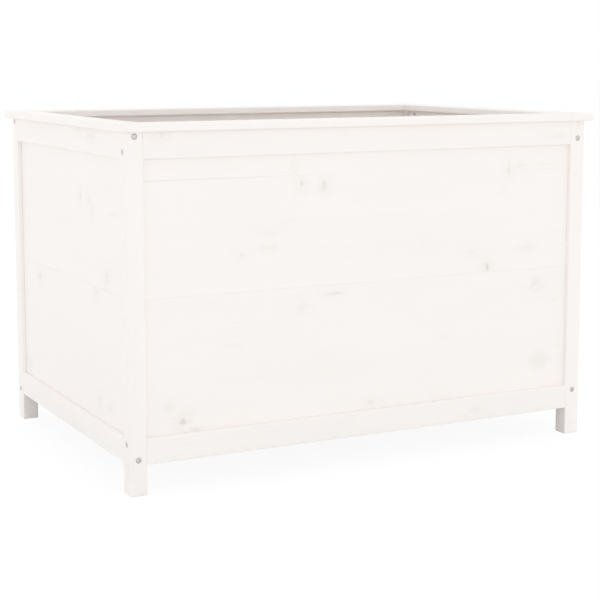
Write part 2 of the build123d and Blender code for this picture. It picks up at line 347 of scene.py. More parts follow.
bands = w.ramp(w.noise(w.stretch(g["Grain"], 2.0, 22.0, 4.0), 1.0, 1.0), 0.35, 0.7, 0.25, 1.0)
rings = w.times(rings, bands)
streak = w.join(w.times(along, 9.0), w.times(bent, STREAKS), through)
fibres = w.noise(streak, 1.0, 2.0, 0.6)
firm = w.times(g["Knot Tone"], 0.6)
core = w.ramp(r, w.plus(firm, -0.25), w.plus(1.6, w.times(firm, -0.7)), 1.0, 0.0)
ring_of_bark = w.ramp(w.math("ABSOLUTE", w.minus(r, BARK_AT)), 0.0, 0.3, 0.3, 0.0)
knot = w.times(w.plus(core, ring_of_bark), present, g["Knot Tone"])
spread = w.plus(w.times(u, u, 0.12), w.times(v, v, 0.3), w.times(t, t))
stain = w.times(w.math("EXPONENT", w.times(spread, STAIN_FALL)), fade, present)
rings = w.times(rings, w.plus(w.times(stain, RINGS_IN_STAIN), 1.0))
lump = w.times(w.math("EXPONENT", w.times(square, -0.8)), present)
w.feed(out["Rings"], rings)
w.feed(out["Fibres"], fibres)
w.feed(out["Knot"], knot)
w.feed(out["Stain"], w.times(stain, g["Knot Tone"]))
w.feed(out["Height"], w.plus(w.times(rings, 0.25), w.times(fibres, 0.18), w.times(lump, 0.8)))
print("pine figure:", len(w.tree.nodes), "nodes")

# %% [markdown]
# The paint is brushed or rolled on along the board. It leaves fine strokes, and a few soft
# patches where it went on thinner. The group gives a tint that multiplies the paint's
# colour, a mask of the thin places and a height for the strokes.

# %% Shader group: brushed paint
brushed_paint, g, out = new_group(
    "Shader",
    "Brushed Paint",
    {"Grain": "vector", "Patchiness": 0.045},
    {"Tint": "float", "Thin": "float", "Height": "float"},
)
w = brushed_paint
strokes = w.noise(w.stretch(g["Grain"], 3.0, 240.0, 240.0), 1.0, 2.0, 0.65)
patches = w.noise(w.stretch(g["Grain"], 2.5, 11.0, 9.0), 1.0, 2.0)
dip = w.times(w.minus(patches, 0.5), g["Patchiness"])
w.feed(out["Tint"], w.plus(dip, 1.0))
w.feed(out["Thin"], w.ramp(patches, 0.4, 0.7))
w.feed(out["Height"], strokes)
print("brushed paint:", len(w.tree.nodes), "nodes")

# %% [markdown]
# Bolts, nuts and screws are zinc plated. Zinc dries in faint crystals, so a Voronoi texture
# of small cells varies the tint, and a fine noise stands for handling marks.

# %% Shader group: zinc crystals
zinc_crystals, g, out = new_group(
    "Shader",
    "Zinc Crystals",
    {"Position": "vector", "Cell": 0.0016},
    {"Tint": "float", "Roughness": "float", "Height": "float"},
)
w = zinc_crystals
density = w.over(1.0, g["Cell"])
crystals = w.add("ShaderNodeTexVoronoi", {"Vector": g["Position"], "Scale": density}, out=None)
shade = w.split(crystals["Color"])[0]
marks = w.noise(g["Position"], 2400.0, 3.0, 0.7)
w.feed(out["Tint"], w.plus(w.times(shade, 0.12), 0.9))
w.feed(out["Roughness"], w.plus(w.times(marks, 0.2), 0.28))
w.feed(out["Height"], marks)
print("zinc crystals:", len(w.tree.nodes), "nodes")

# %% [markdown]
# All painted pieces share one recipe. Paint hides most of the wood: the rings take a few
# hundredths off the white, and even a dark knot only turns it to a warm grey. The floor is
# painted more thinly, so its recipe lets more of the figure show.

# %% Recipe: paint over pine
WHITE_PAINT = (0.965, 0.91, 0.88)
THIN_PAINT = (0.93, 0.888, 0.855)
KNOT_STAIN = (0.5, 0.435, 0.375)
BARE_BEECH = (0.56, 0.36, 0.19)
RINGS_SHOW, FIBRES_SHOW = 0.019, 0.012
KNOTS_SHOW, STAINS_SHOW = 0.28, 0.08
SATIN, CHALKY = 0.5, 0.64
RELIEF_STRENGTH, RELIEF_DEPTH = 0.4, 0.3 * MM
PAINT_GLEAM = 0.3


def new_material(name):
    material = bpy.data.materials.new(name)
    material.use_nodes = True
    shader = material.node_tree.nodes["Principled BSDF"].inputs
    return material, Wiring(material.node_tree), shader


def paint_over(w, shader, figure, paint, colour, show):
    """Covers the pine figure with paint. A show of 1 is a full coat, more is a thinner one."""
    rings = w.times(figure["Rings"], RINGS_SHOW * show)
    wood = w.plus(rings, w.times(figure["Fibres"], FIBRES_SHOW * show))
    tint = w.times(paint["Tint"], w.minus(1.0, wood))
    coat = w.scale(colour, tint)
    knot = w.times(figure["Knot"], KNOTS_SHOW * show)
    stain = w.plus(knot, w.times(figure["Stain"], STAINS_SHOW * show))
    stain = w.math("MINIMUM", stain, 1.0)
    w.feed(shader["Base Color"], w.blend(stain, coat, (*KNOT_STAIN, 1.0), "RGBA"))
    w.feed(shader["Roughness"], w.ramp(paint["Thin"], 0.0, 1.0, SATIN, CHALKY))
    relief = w.plus(figure["Height"], w.times(paint["Height"], 0.12))
    bump = {"Strength": RELIEF_STRENGTH, "Distance": RELIEF_DEPTH, "Height": relief}
    w.feed(shader["Normal"], w.add("ShaderNodeBump", bump))
    shader["Specular IOR Level"].default_value = PAINT_GLEAM


print("white paint:", WHITE_PAINT, "knot stain:", KNOT_STAIN)

# %% [markdown]
# The grain runs along a different axis on a post, a long rail and a short rail, so a
# material is told which of X, Y and Z is along, across and through the board. A shift moves
# the pattern, so that two neighbours never show the same rings. Known knots are given as a
# place along, across and through the board, then radius, length and tone.


# %% Materials for posts, rails and rims
def painted_pine(name, order, shift, share=0.3, knots=(), colour=WHITE_PAINT, show=1.0):
    material, w, shader = new_material(name)
    position = w.add("ShaderNodeTexCoord", out="Object")
    axes = dict(zip("XYZ", w.split(position)))
    grain = w.join(*[axes[letter] for letter in order])
    moved = w.vector("ADD", grain, (shift, shift * 0.7, shift * 0.3))
    found = w.group(random_knots, Grain=moved, Share=share)
    for along, across, through, size, long, tone in knots:
        known = {fact + " A": found[fact] for fact in KNOT_FACTS}
        gap = w.vector("SUBTRACT", grain, (along, across, through))
        known.update({"Offset B": gap, "Size B": size, "Long B": long, "Tone B": tone})
        found = w.group(nearer_knot, **known)
    facts = {"Knot " + fact: found[fact] for fact in KNOT_FACTS}
    figure = w.group(pine_figure, Grain=moved, **facts)
    paint = w.group(brushed_paint, Grain=moved)
    paint_over(w, shader, figure, paint, colour, show)
    return material


front_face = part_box("front_top_rail")[0].y
left_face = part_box("left_top_rail")[0].x
post_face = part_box("front_right_post")[0].y
long_rail_knots = [
    (-0.503, 0.756, front_face, 0.005, 1.0, 0.4),
    (0.286, 0.088, front_face, 0.006, 4.0, 0.25),
    (0.505, 0.728, front_face, 0.004, 3.0, 0.25),
]
short_rail_knots = [
    (-0.103, 0.755, left_face, 0.005, 1.0, 0.45),
    (-0.180, 0.745, left_face, 0.008, 4.0, 0.25),
    (-0.035, 0.070, left_face, 0.005, 4.0, 0.25),
]
post_knots = [(0.755, 0.564, post_face, 0.008, 1.0, 0.35)]
materials = {
    "long_rail": painted_pine("painted_pine_long_rail", "XZY", 3.1, 0.2, long_rail_knots),
    "short_rail": painted_pine("painted_pine_short_rail", "YZX", 7.3, 0.2, short_rail_knots),
    "post": painted_pine("painted_pine_post", "ZXY", 1.7, 0.15, post_knots),
    "long_rim": painted_pine("painted_pine_long_rim", "XYZ", 5.9),
    "short_rim": painted_pine("painted_pine_short_rim", "YXZ", 9.2),
    "ledger": painted_pine("painted_pine_ledger", "XZY", 4.6, 0.4, (), THIN_PAINT, 2.0),
    "dowel": painted_pine("bare_beech_dowel", "XYZ", 0.4, 0.0, (), BARE_BEECH, 2.0),
}
print("painted materials:", len(materials))

# %% [markdown]
# The plated steel is a metal a little darker than the white studio that it mirrors, so the
# bolt heads read as small grey discs on the posts.

# %% Material for the steel
ZINC = (0.66, 0.65, 0.63)
steel, w, shader = new_material("zinc_plated_steel")
zinc = w.group(zinc_crystals, Position=w.add("ShaderNodeTexCoord", out="Object"))
w.feed(shader["Base Color"], w.scale(ZINC, zinc["Tint"]))
w.feed(shader["Roughness"], zinc["Roughness"])
grit = {"Strength": 0.3, "Distance": 0.05 * MM, "Height": zinc["Height"]}
w.feed(shader["Normal"], w.add("ShaderNodeBump", grit))
shader["Metallic"].default_value = 1.0
materials["steel"] = steel
print("zinc:", ZINC)

# %% [markdown]
# The field boards and the slats carry their grain and their knots in named attributes, which
# a Geometry Nodes tree stores on the mesh. The materials read these with Attribute nodes,
# and use the same recipe.


# %% Materials that read attributes
def painted_by_attribute(name, colour, show):
    material, w, shader = new_material(name)

    def stored(attribute, output):
        return w.add("ShaderNodeAttribute", attribute_name=attribute, out=output)

    grain = stored("grain", "Vector")
    facts = {
        "Knot " + fact: stored("knot_" + fact.lower(), "Vector" if kind == "vector" else "Fac")
        for fact, kind in KNOT_FACTS.items()
    }
    figure = w.group(pine_figure, Grain=grain, **facts)
    paint = w.group(brushed_paint, Grain=grain)
    paint_over(w, shader, figure, paint, colour, show)
    return material


materials["board"] = painted_by_attribute("painted_pine_board", WHITE_PAINT, 1.0)
materials["slat"] = painted_by_attribute("painted_pine_slat", THIN_PAINT, 2.0)
print("materials:", sorted(materials))

# %% [markdown]
# A few groups serve every tree that follows, and each gives one geometry. The first is a
# stave: a rectangle with clipped corners, swept along a line.

# %% Geometry group: swept stave
ONE_GEOMETRY = {"Geometry": "geometry"}
swept_stave, g, out = new_group(
    "Geometry",
    "Swept Stave",
    {
        "Length": 1.0,
        "Height": 0.1,
        "Thickness": 0.012,
        "Arris": 0.0002,
        "Step": 0.02,
        "Rows": 5,
    },
    ONE_GEOMETRY,
)
w = swept_stave
half = w.times(g["Length"], 0.5)
ends = {"Start": w.join(w.times(half, -1.0)), "End": w.join(half)}
line = w.geo("CurvePrimitiveLine", ends)
steps = w.plus(w.math("CEIL", w.over(g["Length"], g["Step"])), 1.0)
line = w.geo("ResampleCurve", {"Curve": line, "Count": steps})
line = w.geo("SetCurveNormal", {"Curve": line}, mode="Z_UP")
sides = {"Width": g["Thickness"], "Height": g["Height"]}
section = w.geo("CurvePrimitiveQuadrilateral", sides)
clipped = {"Curve": section, "Radius": g["Arris"], "Count": 1}
section = w.geo("FilletCurve", clipped, mode="POLY")
cuts = w.minus(g["Rows"], 1)
section = w.geo("SubdivideCurve", {"Curve": section, "Cuts": cuts})
sweep = {"Curve": line, "Profile Curve": section, "Fill Caps": True}
solid = w.geo("CurveToMesh", sweep)
solid = w.geo("SetShadeSmooth", {"Geometry": solid, "Shade Smooth": False})
w.feed(out["Geometry"], solid)
print("swept stave:", len(w.tree.nodes), "nodes")

# %% [markdown]
# The second group writes the facts of the nearest knot on a mesh. The offset to one knot
# changes evenly over a face, so a coarse mesh carries it exactly, and the shader can draw
# round knots on it as fine as the picture needs. Each face picks one knot by its own
# middle, and the offset is stored on the face's corners: then two neighbouring faces may
# disagree without a smear between them.


# %% Geometry group: knot facts
def attribute(w, name, kind="FLOAT"):
    return w.geo("InputNamedAttribute", {"Name": name}, data_type=kind)


def store(w, geometry, name, value, kind="FLOAT", domain="POINT"):
    inputs = {"Geometry": geometry, "Name": name, "Value": value}
    return w.geo("StoreNamedAttribute", inputs, data_type=kind, domain=domain)


def by_face(w, value, kind):
    """Works a value out once for each face, instead of once for each corner."""
    return w.geo("FieldOnDomain", [value], domain="FACE", data_type=kind)


knot_facts, g, out = new_group(
    "Geometry",
    "Knot Facts",
    {"Geometry": "geometry", "Knots": "geometry", "Knot Reach": 0.06},
    ONE_GEOMETRY,
)
w = knot_facts
x, y, z = w.position()
on_face = w.join(x, 0.0, z)
search = {"Geometry": g["Knots"], "Sample Position": on_face}
nearest = w.geo("SampleNearest", search, domain="POINT")
nearest = by_face(w, nearest, "INT")


def of_nearest(value, kind="FLOAT"):
    inputs = {"Geometry": g["Knots"], "Value": value, "Index": nearest}
    return w.geo("SampleIndex", inputs, data_type=kind, domain="POINT")


place = of_nearest(w.geo("InputPosition"), "FLOAT_VECTOR")
gap_x, _, gap_z = w.split(w.vector("SUBTRACT", on_face, place))
reach = w.vector("LENGTH", w.join(gap_x, 0.0, gap_z))
near = by_face(w, w.math("LESS_THAN", reach, g["Knot Reach"]), "FLOAT")
sized = w.times(of_nearest(attribute(w, "size")), near)
marked = store(w, g["Geometry"], "knot_offset", w.join(gap_x, gap_z), "FLOAT_VECTOR", "CORNER")
marked = store(w, marked, "knot_size", sized, "FLOAT", "CORNER")
for fact in ("long", "tone"):
    marked = store(w, marked, "knot_" + fact, of_nearest(attribute(w, fact)), "FLOAT", "CORNER")
w.feed(out["Geometry"], marked)
print("knot facts:", len(w.tree.nodes), "nodes")

# %% [markdown]
# Where no photograph says where the knots are, a third group scatters them over the face of
# a board. Every number is drawn from the seed, so each board differs and each run agrees.


# %% Geometry group: wild knots
def random_value(w, low, high, seed, kind="FLOAT"):
    """A random number or vector for each point."""
    index = w.geo("InputIndex")
    slots = {"FLOAT": (2, 3, 1), "FLOAT_VECTOR": (0, 1, 0)}[kind]
    inputs = {slots[0]: low, slots[1]: high, "ID": index, "Seed": seed}
    return w.add("FunctionNodeRandomValue", inputs, out=slots[2], data_type=kind)


wild_knots, g, out = new_group(
    "Geometry",
    "Wild Knots",
    {"Count": 6, "Length": 1.0, "Height": 0.3, "Radius": 0.008, "Seed": 1},
    ONE_GEOMETRY,
)
w = wild_knots
spots = w.geo("Points", {"Count": g["Count"]})
corner = (0.48, 0.0, 0.46)
other_corner = tuple(-c for c in corner)
scatter = random_value(w, other_corner, corner, w.plus(g["Seed"], 23), "FLOAT_VECTOR")
scatter = w.vector("MULTIPLY", scatter, w.join(g["Length"], 0.0, g["Height"]))
spots = w.geo("SetPosition", {"Geometry": spots, "Position": scatter})
spread = random_value(w, 0.4, 1.5, w.plus(g["Seed"], 29))
spots = store(w, spots, "size", w.times(spread, g["Radius"]))
for number, (fact, low, high) in enumerate([("long", 0.6, 2.2), ("tone", 0.15, 0.7)]):
    spots = store(w, spots, fact, random_value(w, low, high, w.plus(g["Seed"], 31 + number)))
w.feed(out["Geometry"], w.geo("PointsToVertices", {"Points": spots}))
print("wild knots:", len(w.tree.nodes), "nodes")

# %% [markdown]
# Each field board is glued from staves. Random weights share out its height, and an
# Accumulate Field node adds them up to place each stave. On the front the top stave has a
# set height, because there its glue line shows through the paint and has opened by a hair
# at the left. The long edges of the finished board are chamfered, so that the seam between
# two boards reads as a fine line. The listed knots come in as the points of a small helper
# mesh, and the wild ones join them.

# %% Geometry Nodes: a board of staves
TOP_STAVE_NUMBER = 0.37
stave_board, g, out = new_group(
    "Geometry",
    "Board of Staves",
    {
        "Length": 1.1,
        "Height": 0.3,
        "Thickness": 0.012,
        "Staves": 3,
        "Top Stave": 0.0,
        "Arris": 0.0002,
        "Unevenness": 0.00004,
        "Seam Chamfer": 0.0007,
        "Open Glue Line": 0.00025,
        "Knots": "object",
        "Wild Knots": 6,
        "Seed": 1,
        "Turn": 0.0,
        "Place": "vector",
        "Material": "material",
    },
    ONE_GEOMETRY,
)
w = stave_board
points = w.geo("Points", {"Count": g["Staves"]})
points = store(w, points, "weight", random_value(w, 0.75, 1.25, g["Seed"]))
weight = attribute(w, "weight")
sums = w.geo("AccumulateField", {0: weight}, out=None, data_type="FLOAT")
shared = w.minus(g["Height"], g["Top Stave"])
unit = w.over(shared, sums["Total"])
nominal = w.over(shared, g["Staves"])
points = store(w, points, "tall", w.over(w.times(weight, unit), nominal))
middle = w.plus(
    w.times(sums["Trailing"], unit), w.times(weight, unit, 0.5), w.times(g["Height"], -0.5)
)
sunk = w.times(random_value(w, 0.0, 1.0, w.plus(g["Seed"], 11)), g["Unevenness"])
placed = w.join(0.0, sunk, middle)
points = w.geo("SetPosition", {"Geometry": points, "Position": placed})
points = store(w, points, "stave", random_value(w, 0.0, 1.0, w.plus(g["Seed"], 5)))
sizes = {"Length": g["Length"], "Thickness": g["Thickness"], "Arris": g["Arris"]}
stave = w.group(swept_stave, Height=nominal, **sizes)[0]
grown = {"Points": points, "Instance": stave, "Scale": w.join(1.0, 1.0, attribute(w, "tall"))}
staves = w.geo("RealizeInstances", [w.geo("InstanceOnPoints", grown)])
top = w.group(swept_stave, Height=w.math("MAXIMUM", g["Top Stave"], MM), **sizes)[0]
raise_by = w.times(w.minus(g["Height"], g["Top Stave"]), 0.5)
top = w.geo("Transform", {"Geometry": top, "Translation": w.join(0.0, 0.0, raise_by)})
x, y, z = w.position()
opening = w.ramp(x, w.times(g["Length"], -0.5), 0.0, g["Open Glue Line"], 0.0)
low_half = w.math("LESS_THAN", z, w.minus(raise_by, g["Arris"]))
lifted = {"Geometry": top, "Selection": low_half, "Offset": w.join(0.0, 0.0, opening)}
top = w.geo("SetPosition", lifted)
top = store(w, top, "stave", TOP_STAVE_NUMBER)
has_top = w.math("GREATER_THAN", g["Top Stave"], 0.0)
top = w.geo("Switch", {"Switch": has_top, "True": top}, input_type="GEOMETRY")
glued = w.together(staves, top)


def within(value, limit):
    """Keeps a number between minus and plus the limit."""
    return w.math("MAXIMUM", w.math("MINIMUM", value, limit), w.times(limit, -1.0))


half_height, half_thick = w.times(g["Height"], 0.5), w.times(g["Thickness"], 0.5)
x, y, z = w.position()
on_edge = w.math("GREATER_THAN", w.math("ABSOLUTE", z), w.plus(half_height, -0.05 * MM))
pulled = w.join(x, within(y, w.minus(half_thick, g["Seam Chamfer"])), z)
pull = {"Geometry": glued, "Selection": on_edge, "Position": pulled}
glued = w.geo("SetPosition", pull)
on_side = w.math("GREATER_THAN", w.math("ABSOLUTE", y), w.plus(half_thick, -0.1 * MM))
pulled = w.join(x, y, within(z, w.minus(half_height, g["Seam Chamfer"])))
pull = {"Geometry": glued, "Selection": on_side, "Position": pulled}
glued = w.geo("SetPosition", pull)
drawn = w.geo("ObjectInfo", {"Object": g["Knots"]}, out="Geometry")
wild = {"Count": g["Wild Knots"], "Length": g["Length"], "Height": g["Height"], "Seed": g["Seed"]}
all_knots = w.together(w.group(wild_knots, **wild)[0], drawn)
board = w.group(knot_facts, Geometry=glued, Knots=all_knots)[0]
x, y, z = w.position()
stave_number = attribute(w, "stave")
grain = w.join(
    w.plus(x, w.times(stave_number, 7.0)),
    w.plus(z, w.times(stave_number, 3.0)),
    w.plus(y, w.times(g["Seed"], 1.7)),
)
board = store(w, board, "grain", grain, "FLOAT_VECTOR")
turned = {"Geometry": board, "Translation": g["Place"], "Rotation": w.join(0.0, 0.0, g["Turn"])}
board = w.geo("Transform", turned)
board = w.geo("RealizeInstances", [board])
board = w.geo("SetMaterial", {"Geometry": board, "Material": g["Material"]})
w.feed(out["Geometry"], board)
print("board of staves:", len(w.tree.nodes), "nodes")

# %% [markdown]
# A tree does nothing until a modifier holds it. This function makes an empty mesh object,
# adds the modifier, and sets the inputs by their identifiers before the object is first
# evaluated. It then bakes the result to a plain mesh, and the object with the modifier is
# deleted, so that what rides on the frame is an ordinary mesh with its place in its vertices.


# %% Run a tree and keep its mesh
def show_in_scene(name, mesh):
    piece = bpy.data.objects.new(name, mesh)
    bpy.context.scene.collection.objects.link(piece)
    return piece


def run_tree(group, name, values):
    holder = show_in_scene(name + "_holder", bpy.data.meshes.new(name + "_holder"))
    modifier = holder.modifiers.new("Nodes", "NODES")
    modifier.node_group = group.tree
    for item in group.tree.interface.items_tree:
        if item.item_type == "SOCKET" and item.in_out == "INPUT" and item.name in values:
            modifier[item.identifier] = values[item.name]
    holder.update_tag()
    bpy.context.view_layer.update()
    evaluated = holder.evaluated_get(bpy.context.evaluated_depsgraph_get())
    mesh = bpy.data.meshes.new_from_object(evaluated)
    mesh.name = name
    bpy.data.objects.remove(holder)
    return show_in_scene(name, mesh)


def mesh_size(mesh):
    axes = zip(*[vertex.co for vertex in mesh.vertices])
    return [round((max(axis) - min(axis)) / MM, 1) for axis in axes]


def hold(piece, slot, *replaced):
    """A finished piece rides on the bed and stands for the nodes that it replaces."""
    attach(piece, BODY)
    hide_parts(*replaced)
    print(piece.name, "faces:", len(piece.data.polygons), "size in mm:", mesh_size(piece.data))


def loose_points(name, places, **facts):
    """A helper mesh of loose points that carry facts as attributes."""
    mesh = bpy.data.meshes.new(name)
    mesh.from_pydata([tuple(place) for place in places], [], [])
    for key, values in facts.items():
        single = isinstance(values[0], float)
        layer = mesh.attributes.new(key, "FLOAT" if single else "FLOAT_VECTOR", "POINT")
        for item, value in zip(layer.data, values):
            setattr(item, "value" if single else "vector", value)
    return show_in_scene(name, mesh)


print("trees are ready to run")

# %% [markdown]
# The knots that the eye meets first, on the front and the left side, are listed: along
# the board, height above the ground, radius across the grain, length along it in radii, and
# tone. The first three are in metres. On the left side, along is the world's Y. The other
# two sides get wild knots.

# %% Place the knots of the front and left boards
HAND_KNOTS = {
    "front_upper": [
        (-0.191, 0.676, 0.020, 0.5, 0.20),
        (-0.174, 0.640, 0.007, 0.7, 0.85),
        (-0.119, 0.635, 0.013, 0.6, 0.70),
        (0.372, 0.653, 0.015, 0.35, 0.45),
        (0.404, 0.661, 0.005, 4.0, 0.30),
        (0.478, 0.661, 0.003, 7.0, 0.30),
        (0.356, 0.605, 0.006, 1.0, 0.20),
        (-0.251, 0.538, 0.003, 5.0, 0.25),
        (-0.253, 0.507, 0.005, 4.5, 0.32),
        (-0.318, 0.492, 0.006, 1.2, 0.30),
        (0.271, 0.462, 0.005, 1.3, 0.25),
        (0.315, 0.426, 0.009, 0.6, 1.00),
        (0.430, 0.465, 0.006, 4.5, 0.25),
        (0.140, 0.490, 0.005, 1.5, 0.15),
    ],
    "front_lower": [
        (-0.095, 0.393, 0.003, 7.5, 0.60),
        (-0.170, 0.370, 0.014, 0.9, 0.22),
        (0.457, 0.373, 0.018, 0.7, 0.28),
        (0.510, 0.333, 0.005, 1.3, 0.30),
        (0.467, 0.189, 0.020, 1.4, 0.30),
        (-0.489, 0.183, 0.011, 1.0, 0.25),
        (-0.458, 0.146, 0.009, 0.9, 1.00),
        (-0.430, 0.126, 0.004, 3.0, 0.40),
        (0.003, 0.137, 0.006, 1.4, 0.40),
        (0.198, 0.272, 0.006, 1.5, 0.15),
        (-0.340, 0.300, 0.004, 5.0, 0.12),
    ],
    "left_upper": [
        (-0.081, 0.607, 0.009, 0.7, 0.50),
        (-0.135, 0.604, 0.009, 0.7, 0.32),
        (-0.155, 0.581, 0.011, 0.6, 0.30),
        (-0.250, 0.642, 0.006, 1.2, 0.15),
        (-0.283, 0.583, 0.003, 5.0, 0.20),
        (-0.246, 0.445, 0.015, 0.7, 0.38),
    ],
    "left_lower": [
        (-0.174, 0.402, 0.009, 0.7, 0.40),
        (0.228, 0.382, 0.010, 0.9, 0.50),
        (-0.188, 0.161, 0.012, 0.7, 0.38),
        (-0.251, 0.155, 0.008, 1.0, 0.30),
        (0.325, 0.150, 0.010, 1.0, 0.35),
    ],
}
print("knots set by hand:", sum(len(knots) for knots in HAND_KNOTS.values()))

# %% [markdown]
# Now the eight boards are made. The front board lies as drawn. The right, back and left
# boards are the same tree turned by a quarter each, so on the left side the board's own X
# axis points from the back to the front, and the listed places change sign to match.

# %% Make the field boards
TONGUE = 5 * MM
GLUE_LINE_HEIGHT = 0.6595
FAR_AWAY = (9.0, 9.0, 0.001, 1.0, 0.0)
for side_number, side in enumerate(SIDES):
    for level in ("lower", "upper"):
        node = f"{side}_{level}_board"
        low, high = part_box(node)
        if level == "lower":
            high.z -= TONGUE
        size, middle = high - low, (low + high) / 2
        sign = -1 if side == "left" else 1
        drawn_knots = HAND_KNOTS.get(f"{side}_{level}", [])
        knots = drawn_knots or [FAR_AWAY]
        helper = loose_points(
            node + "_knots",
            [(sign * knot[0], 0.0, knot[1] - middle.z) for knot in knots],
            size=[knot[2] for knot in knots],
            long=[knot[3] for knot in knots],
            tone=[knot[4] for knot in knots],
        )
        values = {
            "Length": max(size.x, size.y),
            "Height": size.z,
            "Thickness": board_thickness,
            "Top Stave": high.z - GLUE_LINE_HEIGHT if node == "front_upper_board" else 0.0,
            "Knots": helper,
            "Wild Knots": 0 if drawn_knots else 7,
            "Seed": 10 * side_number + (level == "upper") + 3,
            "Turn": math.radians(90 * side_number),
            "Place": tuple(middle),
            "Material": materials["board"],
        }
        board = run_tree(stave_board, f"{node}_of_staves", values)
        hold(board, "white_pine", node)
        bpy.data.objects.remove(helper)

# %% [markdown]
# The floor is a row of slats with gaps that let water through. One slat is swept, its top
# edges are rounded, and a Mesh Boolean node sinks the three screw holes. The cone of the
# countersink reaches a little deeper and narrower than the shank hole, so that the two
# cuts cross cleanly and never share an edge, which would leave the mesh open. The holes are
# cut before the slat is copied, so the slow step is done once, and the cut faces are split
# into triangles, since a wide face with holes in it is hard for other programs to read.
# Each copy carries its own random number, which moves its grain.

# %% Geometry Nodes: a row of slats
slat_row, g, out = new_group(
    "Geometry",
    "Row of Slats",
    {
        "Slat Width": 0.082,
        "Slat Thickness": 0.018,
        "Slat Length": 0.73,
        "Top Round": 0.0015,
        "Count": 12,
        "Pitch": 0.09,
        "Screw Spread": 0.36,
        "Head Radius": 0.0042,
        "Shank Radius": 0.0021,
        "Countersink": 0.0024,
        "Seed": 5,
        "Place": "vector",
        "Material": "material",
    },
    ONE_GEOMETRY,
)
w = slat_row
half = w.times(g["Slat Length"], 0.5)
ends = {"Start": w.join(0.0, w.times(half, -1.0), 0.0), "End": w.join(0.0, half, 0.0)}
line = w.geo("CurvePrimitiveLine", ends)
line = w.geo("SetCurveNormal", {"Curve": line}, mode="Z_UP")
sides = {"Width": g["Slat Width"], "Height": g["Slat Thickness"]}
section = w.geo("CurvePrimitiveQuadrilateral", sides)
is_top = w.math("LESS_THAN", w.position()[1], 0.0)
rounding = w.times(w.plus(w.times(is_top, 0.9), 0.1), g["Top Round"])
rounded = {"Curve": section, "Radius": rounding, "Count": 3}
section = w.geo("FilletCurve", rounded, mode="POLY")
sweep = {"Curve": line, "Profile Curve": section, "Fill Caps": True}
slat = w.geo("CurveToMesh", sweep)
deeper = 1.2
deep = w.times(g["Countersink"], deeper)
flare = w.minus(g["Head Radius"], g["Shank Radius"])
tip = w.minus(g["Head Radius"], w.times(flare, deeper))
cone = {"Vertices": 20, "Radius Top": g["Head Radius"], "Radius Bottom": tip, "Depth": deep}
cone = w.geo("MeshCone", cone, out="Mesh")
proud = 0.02 * MM
lift = w.plus(w.minus(w.times(g["Slat Thickness"], 0.5), deep), proud)
cone = w.geo("Transform", {"Geometry": cone, "Translation": w.join(0.0, 0.0, lift)})
shaft = {"Vertices": 20, "Radius": g["Shank Radius"], "Depth": w.times(g["Slat Thickness"], 1.2)}
shaft = w.geo("MeshCylinder", shaft, out="Mesh")
row = {"Count": 3, "Start Location": w.join(0.0, w.times(g["Screw Spread"], -1.0), 0.0)}
row["Offset"] = w.join(0.0, g["Screw Spread"], 0.0)
row = w.geo("MeshLine", row)
for cutter in (shaft, cone):
    cutters = w.geo("InstanceOnPoints", {"Points": row, "Instance": cutter})
    cutters = w.geo("RealizeInstances", [cutters])
    cut = w.tree.nodes.new("GeometryNodeMeshBoolean")
    cut.operation = "DIFFERENCE"
    cut.solver = "MANIFOLD"
    w.feed(cut.inputs["Mesh 1"], slat)
    w.feed(cut.inputs["Mesh 2"], cutters)
    slat = cut.outputs[0]
slat = w.geo("MergeByDistance", {"Geometry": slat, "Distance": 0.002 * MM})
slat = w.geo("Triangulate", [slat])
slat = w.geo("SetShadeSmooth", {"Geometry": slat, "Shade Smooth": False})
first = w.times(w.minus(g["Count"], 1), g["Pitch"], -0.5)
row = {"Count": g["Count"], "Start Location": w.join(first), "Offset": w.join(g["Pitch"])}
row = w.geo("MeshLine", row)
row = store(w, row, "slat", random_value(w, 0.0, 1.0, g["Seed"]))
slats = w.geo("InstanceOnPoints", {"Points": row, "Instance": slat})
slats = w.geo("RealizeInstances", [slats])
x, y, z = w.position()
number = attribute(w, "slat")
grain = w.join(w.plus(y, w.times(number, 7.0)), w.plus(x, w.times(number, 3.0)), z)
slats = store(w, slats, "grain", grain, "FLOAT_VECTOR")
slats = store(w, slats, "knot_size", 0.0)
slats = w.geo("Transform", {"Geometry": slats, "Translation": g["Place"]})
slats = w.geo("RealizeInstances", [slats])
slats = w.geo("SetMaterial", {"Geometry": slats, "Material": g["Material"]})
w.feed(out["Geometry"], slats)
print("row of slats:", len(w.tree.nodes), "nodes")

# %% Make the floor slats
slat_nodes = sorted(name for name in nodes if name.startswith("floor_slat_"))
slat_size = node_size(slat_nodes[0])
first_slat, last_slat = node_centre(slat_nodes[0]), node_centre(slat_nodes[-1])
floor_of_slats = run_tree(
    slat_row,
    "floor_of_slats",
    {
        "Slat Width": slat_size.x,
        "Slat Thickness": slat_size.z,
        "Slat Length": slat_size.y,
        "Count": len(slat_nodes),
        "Pitch": (last_slat.x - first_slat.x) / (len(slat_nodes) - 1),
        "Screw Spread": abs(node_centre("front_ledger").y),
        "Place": (0.0, 0.0, first_slat.z),
        "Material": materials["slat"],
    },
)
hold(floor_of_slats, "floor_pine", *slat_nodes)

# %% [markdown]
# The fasteners are one drawing each, set many times. The drawing is a half section turned
# about its axis in bmesh, with a recess pushed into the head: a hexagon in the bolts and a
# cross in the wood screws. Few faces are enough, because the largest head is 12 mm wide.


# %% Draw the fasteners
CROSS_WAIST = 0.42
RECESS_TAPER = 0.96


def recess_reach(kind, angle, number, sides):
    """How far the edge of the recess reaches at this angle, as a share of its radius."""
    if kind == "hexagon":
        return math.cos(math.pi / 6) / math.cos(angle % (math.pi / 3) - math.pi / 6)
    quarter = sides // 4
    return 1.0 if number % quarter in (0, 1, quarter - 1) else CROSS_WAIST


